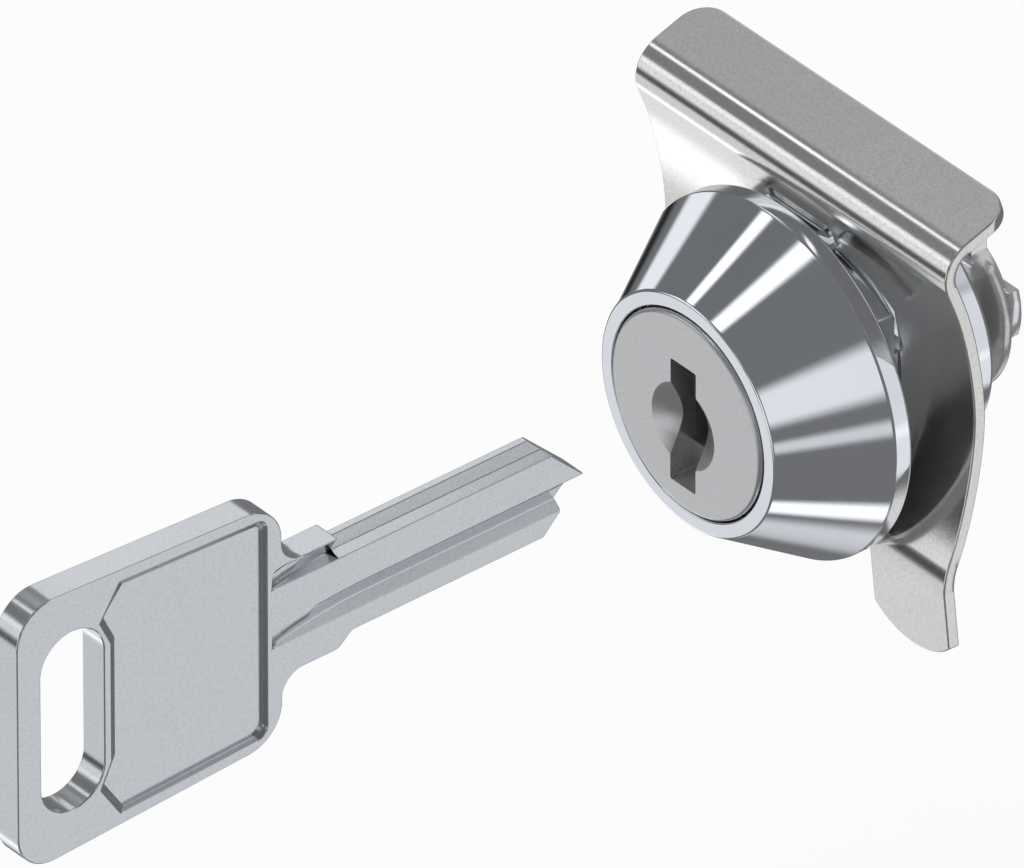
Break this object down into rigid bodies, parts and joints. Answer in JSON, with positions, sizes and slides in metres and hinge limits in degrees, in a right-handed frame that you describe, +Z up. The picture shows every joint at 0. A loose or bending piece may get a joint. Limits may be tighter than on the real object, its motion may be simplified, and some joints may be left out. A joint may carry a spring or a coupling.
{
  "type": "quarter-turn cylinder lock",
  "caption": "Quarter-turn cylinder lock with a conical head, sprung wafers, a driver with a cam, a push-on spring clip and a flat key in front of the keyway.",
  "frame": {"origin": "centre of the panel cut-out, in the plane of the head rim's rear face, on the plug's axis", "axes": "+Y along the plug's axis, through the panel and away from the key side; +Z up, towards the anti-turn lug; +X to the right as seen from the key side"},
  "size_m": [0.0419, 0.0879, 0.0372],
  "materials": {
    "bright_chrome": "polished plating",
    "plug_grey": "matt plated casting",
    "seal_rubber": "soft black",
    "wafer_brass": "plain",
    "spring_wire": "bright drawn",
    "stamped_steel": "satin zinc plating",
    "light_zinc": "smooth light casting",
    "clip_steel": "satin spring steel",
    "key_nickel": "satin nickel silver"
  },
  "bodies": {
    "housing": {"housing": "bright_chrome", "fixing_clip": "clip_steel"},
    "plug": {"plug": "plug_grey", "plug_seal": "seal_rubber", "wafer_spring_1": "spring_wire", "wafer_spring_2": "spring_wire", "wafer_spring_3": "spring_wire", "wafer_spring_4": "spring_wire", "wafer_spring_5": "spring_wire", "wafer_spring_6": "spring_wire", "stop_washer": "stamped_steel", "driver": "light_zinc", "cam": "stamped_steel", "lock_washer": "stamped_steel", "cam_screw": "stamped_steel"},
    "wafer_1": {"wafer_1": "wafer_brass"},
    "wafer_2": {"wafer_2": "wafer_brass"},
    "wafer_3": {"wafer_3": "wafer_brass"},
    "wafer_4": {"wafer_4": "wafer_brass"},
    "wafer_5": {"wafer_5": "wafer_brass"},
    "wafer_6": {"wafer_6": "wafer_brass"},
    "key": {"key": "key_nickel"}
  },
  "joints": [
    {"name": "plug_turn", "type": "hinge", "parent": "housing", "child": "plug", "pos_m": [0, 0, 0], "axis": [0, 1, 0], "range_deg": [0, 90]},
    {"name": "wafer_1_slide", "type": "slide", "parent": "plug", "child": "wafer_1", "axis": [0, 0, 1], "range_m": [0, 0.0006], "stiffness_N_per_m": 80, "deforming": ["wafer_spring_1"]},
    {"name": "wafer_2_slide", "type": "slide", "parent": "plug", "child": "wafer_2", "axis": [0, 0, -1], "range_m": [0, 0.0006], "stiffness_N_per_m": 80, "deforming": ["wafer_spring_2"]},
    {"name": "wafer_3_slide", "type": "slide", "parent": "plug", "child": "wafer_3", "axis": [0, 0, 1], "range_m": [0, 0.0006], "stiffness_N_per_m": 80, "deforming": ["wafer_spring_3"]},
    {"name": "wafer_4_slide", "type": "slide", "parent": "plug", "child": "wafer_4", "axis": [0, 0, -1], "range_m": [0, 0.0006], "stiffness_N_per_m": 80, "deforming": ["wafer_spring_4"]},
    {"name": "wafer_5_slide", "type": "slide", "parent": "plug", "child": "wafer_5", "axis": [0, 0, 1], "range_m": [0, 0.0006], "stiffness_N_per_m": 80, "deforming": ["wafer_spring_5"]},
    {"name": "wafer_6_slide", "type": "slide", "parent": "plug", "child": "wafer_6", "axis": [0, 0, -1], "range_m": [0, 0.0006], "stiffness_N_per_m": 80, "deforming": ["wafer_spring_6"]},
    {"name": "key_slide", "type": "slide", "parent": "plug", "child": "key", "axis": [0, 1, 0], "range_m": [0, 0.02835]}
  ]
}
